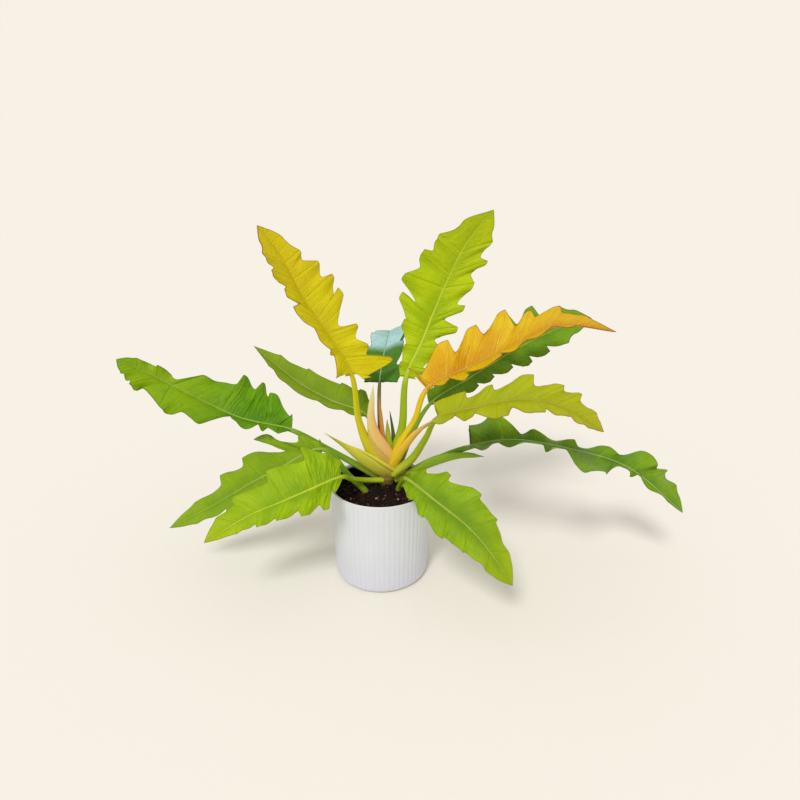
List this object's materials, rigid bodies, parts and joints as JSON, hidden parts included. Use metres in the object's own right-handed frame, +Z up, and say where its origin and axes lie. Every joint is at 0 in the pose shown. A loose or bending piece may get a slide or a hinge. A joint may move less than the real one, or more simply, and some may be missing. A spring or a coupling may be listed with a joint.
{
  "type": "potted ring of fire philodendron",
  "caption": "House plant with long, deeply toothed leaves in gold, lime, orange and green, spreading from one crown in a ribbed off-white cylindrical pot.",
  "frame": {"origin": "centre of the cover pot's foot, on the surface it stands on", "axes": "+Z up, -Y towards the front of the picture, +X to the picture's right"},
  "size_m": [0.8078, 0.4336, 0.5354],
  "materials": {
    "pot_shell": "satin",
    "nursery_pot": "satin",
    "potting_mix": "matte",
    "crown_tissue": "satin",
    "leaf_gold": "satin",
    "leaf_lime": "satin",
    "leaf_orange": "satin",
    "leaf_green": "satin",
    "leaf_dark": "satin",
    "sheath_pale": "satin",
    "sheath_green": "satin"
  },
  "bodies": {
    "root": {"cover_pot": "pot_shell", "growers_pot": "nursery_pot", "soil": "potting_mix", "crown": "crown_tissue", "leaf_gold_left": "leaf_gold", "leaf_lime_tall": "leaf_lime", "leaf_orange_right": "leaf_orange", "leaf_green_right_back": "leaf_green", "leaf_lime_right": "leaf_lime", "leaf_green_right_long": "leaf_green", "leaf_lime_front_right": "leaf_lime", "leaf_green_left_long": "leaf_green", "leaf_green_left_back": "leaf_green", "leaf_lime_front_left": "leaf_lime", "leaf_green_front_left": "leaf_green", "leaf_dark_back": "leaf_dark", "sheath_left": "sheath_pale", "sheath_right": "sheath_pale", "sheath_low_right": "sheath_green", "spear_pink": "sheath_pale", "spear_orange": "sheath_pale", "spear_green": "sheath_green", "spike_dark": "sheath_green"}
  },
  "joints": []
}
